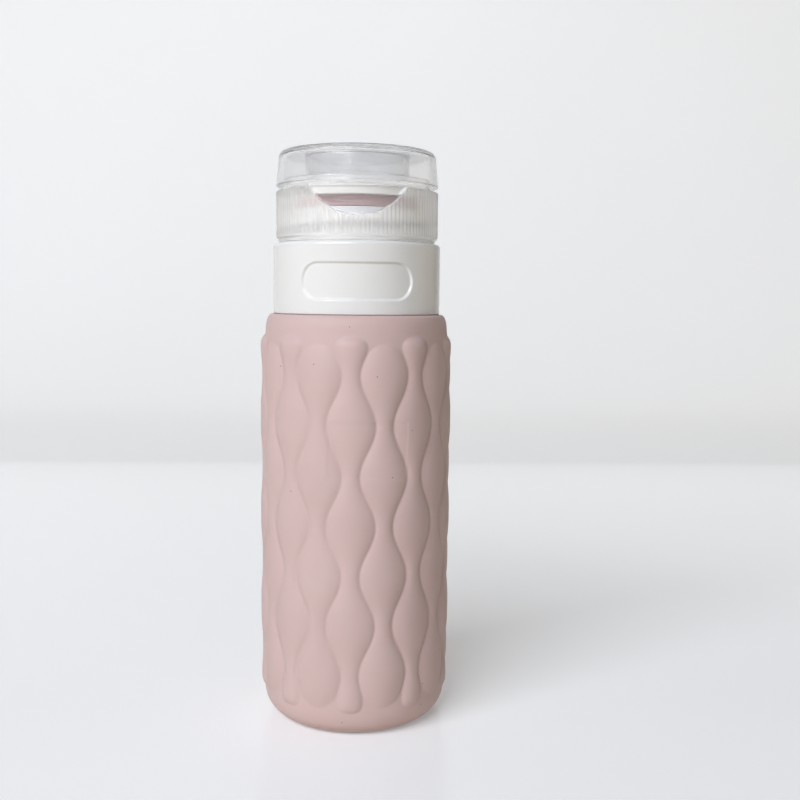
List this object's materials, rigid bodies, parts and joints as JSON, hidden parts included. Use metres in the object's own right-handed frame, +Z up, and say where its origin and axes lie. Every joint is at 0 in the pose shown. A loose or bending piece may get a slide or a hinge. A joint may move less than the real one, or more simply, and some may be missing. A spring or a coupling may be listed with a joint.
{
  "type": "travel silicone bottle",
  "caption": "Soft squeeze bottle with a wave-relief body, glossy collar, ribbed screw cap, clear flip lid with living hinge, and a slit no-drip valve.",
  "frame": {"origin": "centre of the flat foot, on the surface that the bottle stands on", "axes": "+Z up along the bottle's axis, -Y to the front with the thumb scoop and the label pocket, +Y to the hinge"},
  "size_m": [0.0428, 0.043, 0.1265],
  "materials": {
    "silicone_pink": "matte soft silicone, dusty pink, moulded wave relief",
    "collar_white": "glossy white polypropylene",
    "cap_milky": "natural translucent polypropylene, satin",
    "lid_clear": "clear polished polypropylene",
    "hinge_milky": "natural translucent polypropylene, satin",
    "valve_silicone": "milky silicone",
    "ring_white": "matte white plastic"
  },
  "bodies": {
    "bottle": {"squeeze_body": "silicone_pink", "collar": "collar_white"},
    "carrier": {"valve_ring": "ring_white"},
    "cap": {"cap_base": "cap_milky", "no_drip_valve": "valve_silicone", "living_hinge": "hinge_milky"},
    "lid": {"flip_lid": "lid_clear"}
  },
  "joints": [
    {"name": "cap_lift", "type": "slide", "parent": "bottle", "child": "carrier", "axis": [0, 0, 1], "range_m": [0, 0.0038]},
    {"name": "cap_turn", "type": "hinge", "parent": "carrier", "child": "cap", "pos_m": [0, 0, 0.11], "axis": [0, 0, 1], "range_deg": [0, 450]},
    {"name": "lid_flip", "type": "hinge", "parent": "cap", "child": "lid", "pos_m": [0, 0.01846, 0.1184], "axis": [-1, 0, 0], "range_deg": [0, 150], "deforming": ["living_hinge"]}
  ],
  "couplings": [
    {"joint": "cap_lift", "follows": "cap_turn", "m_per_rad": 0.00047746}
  ]
}
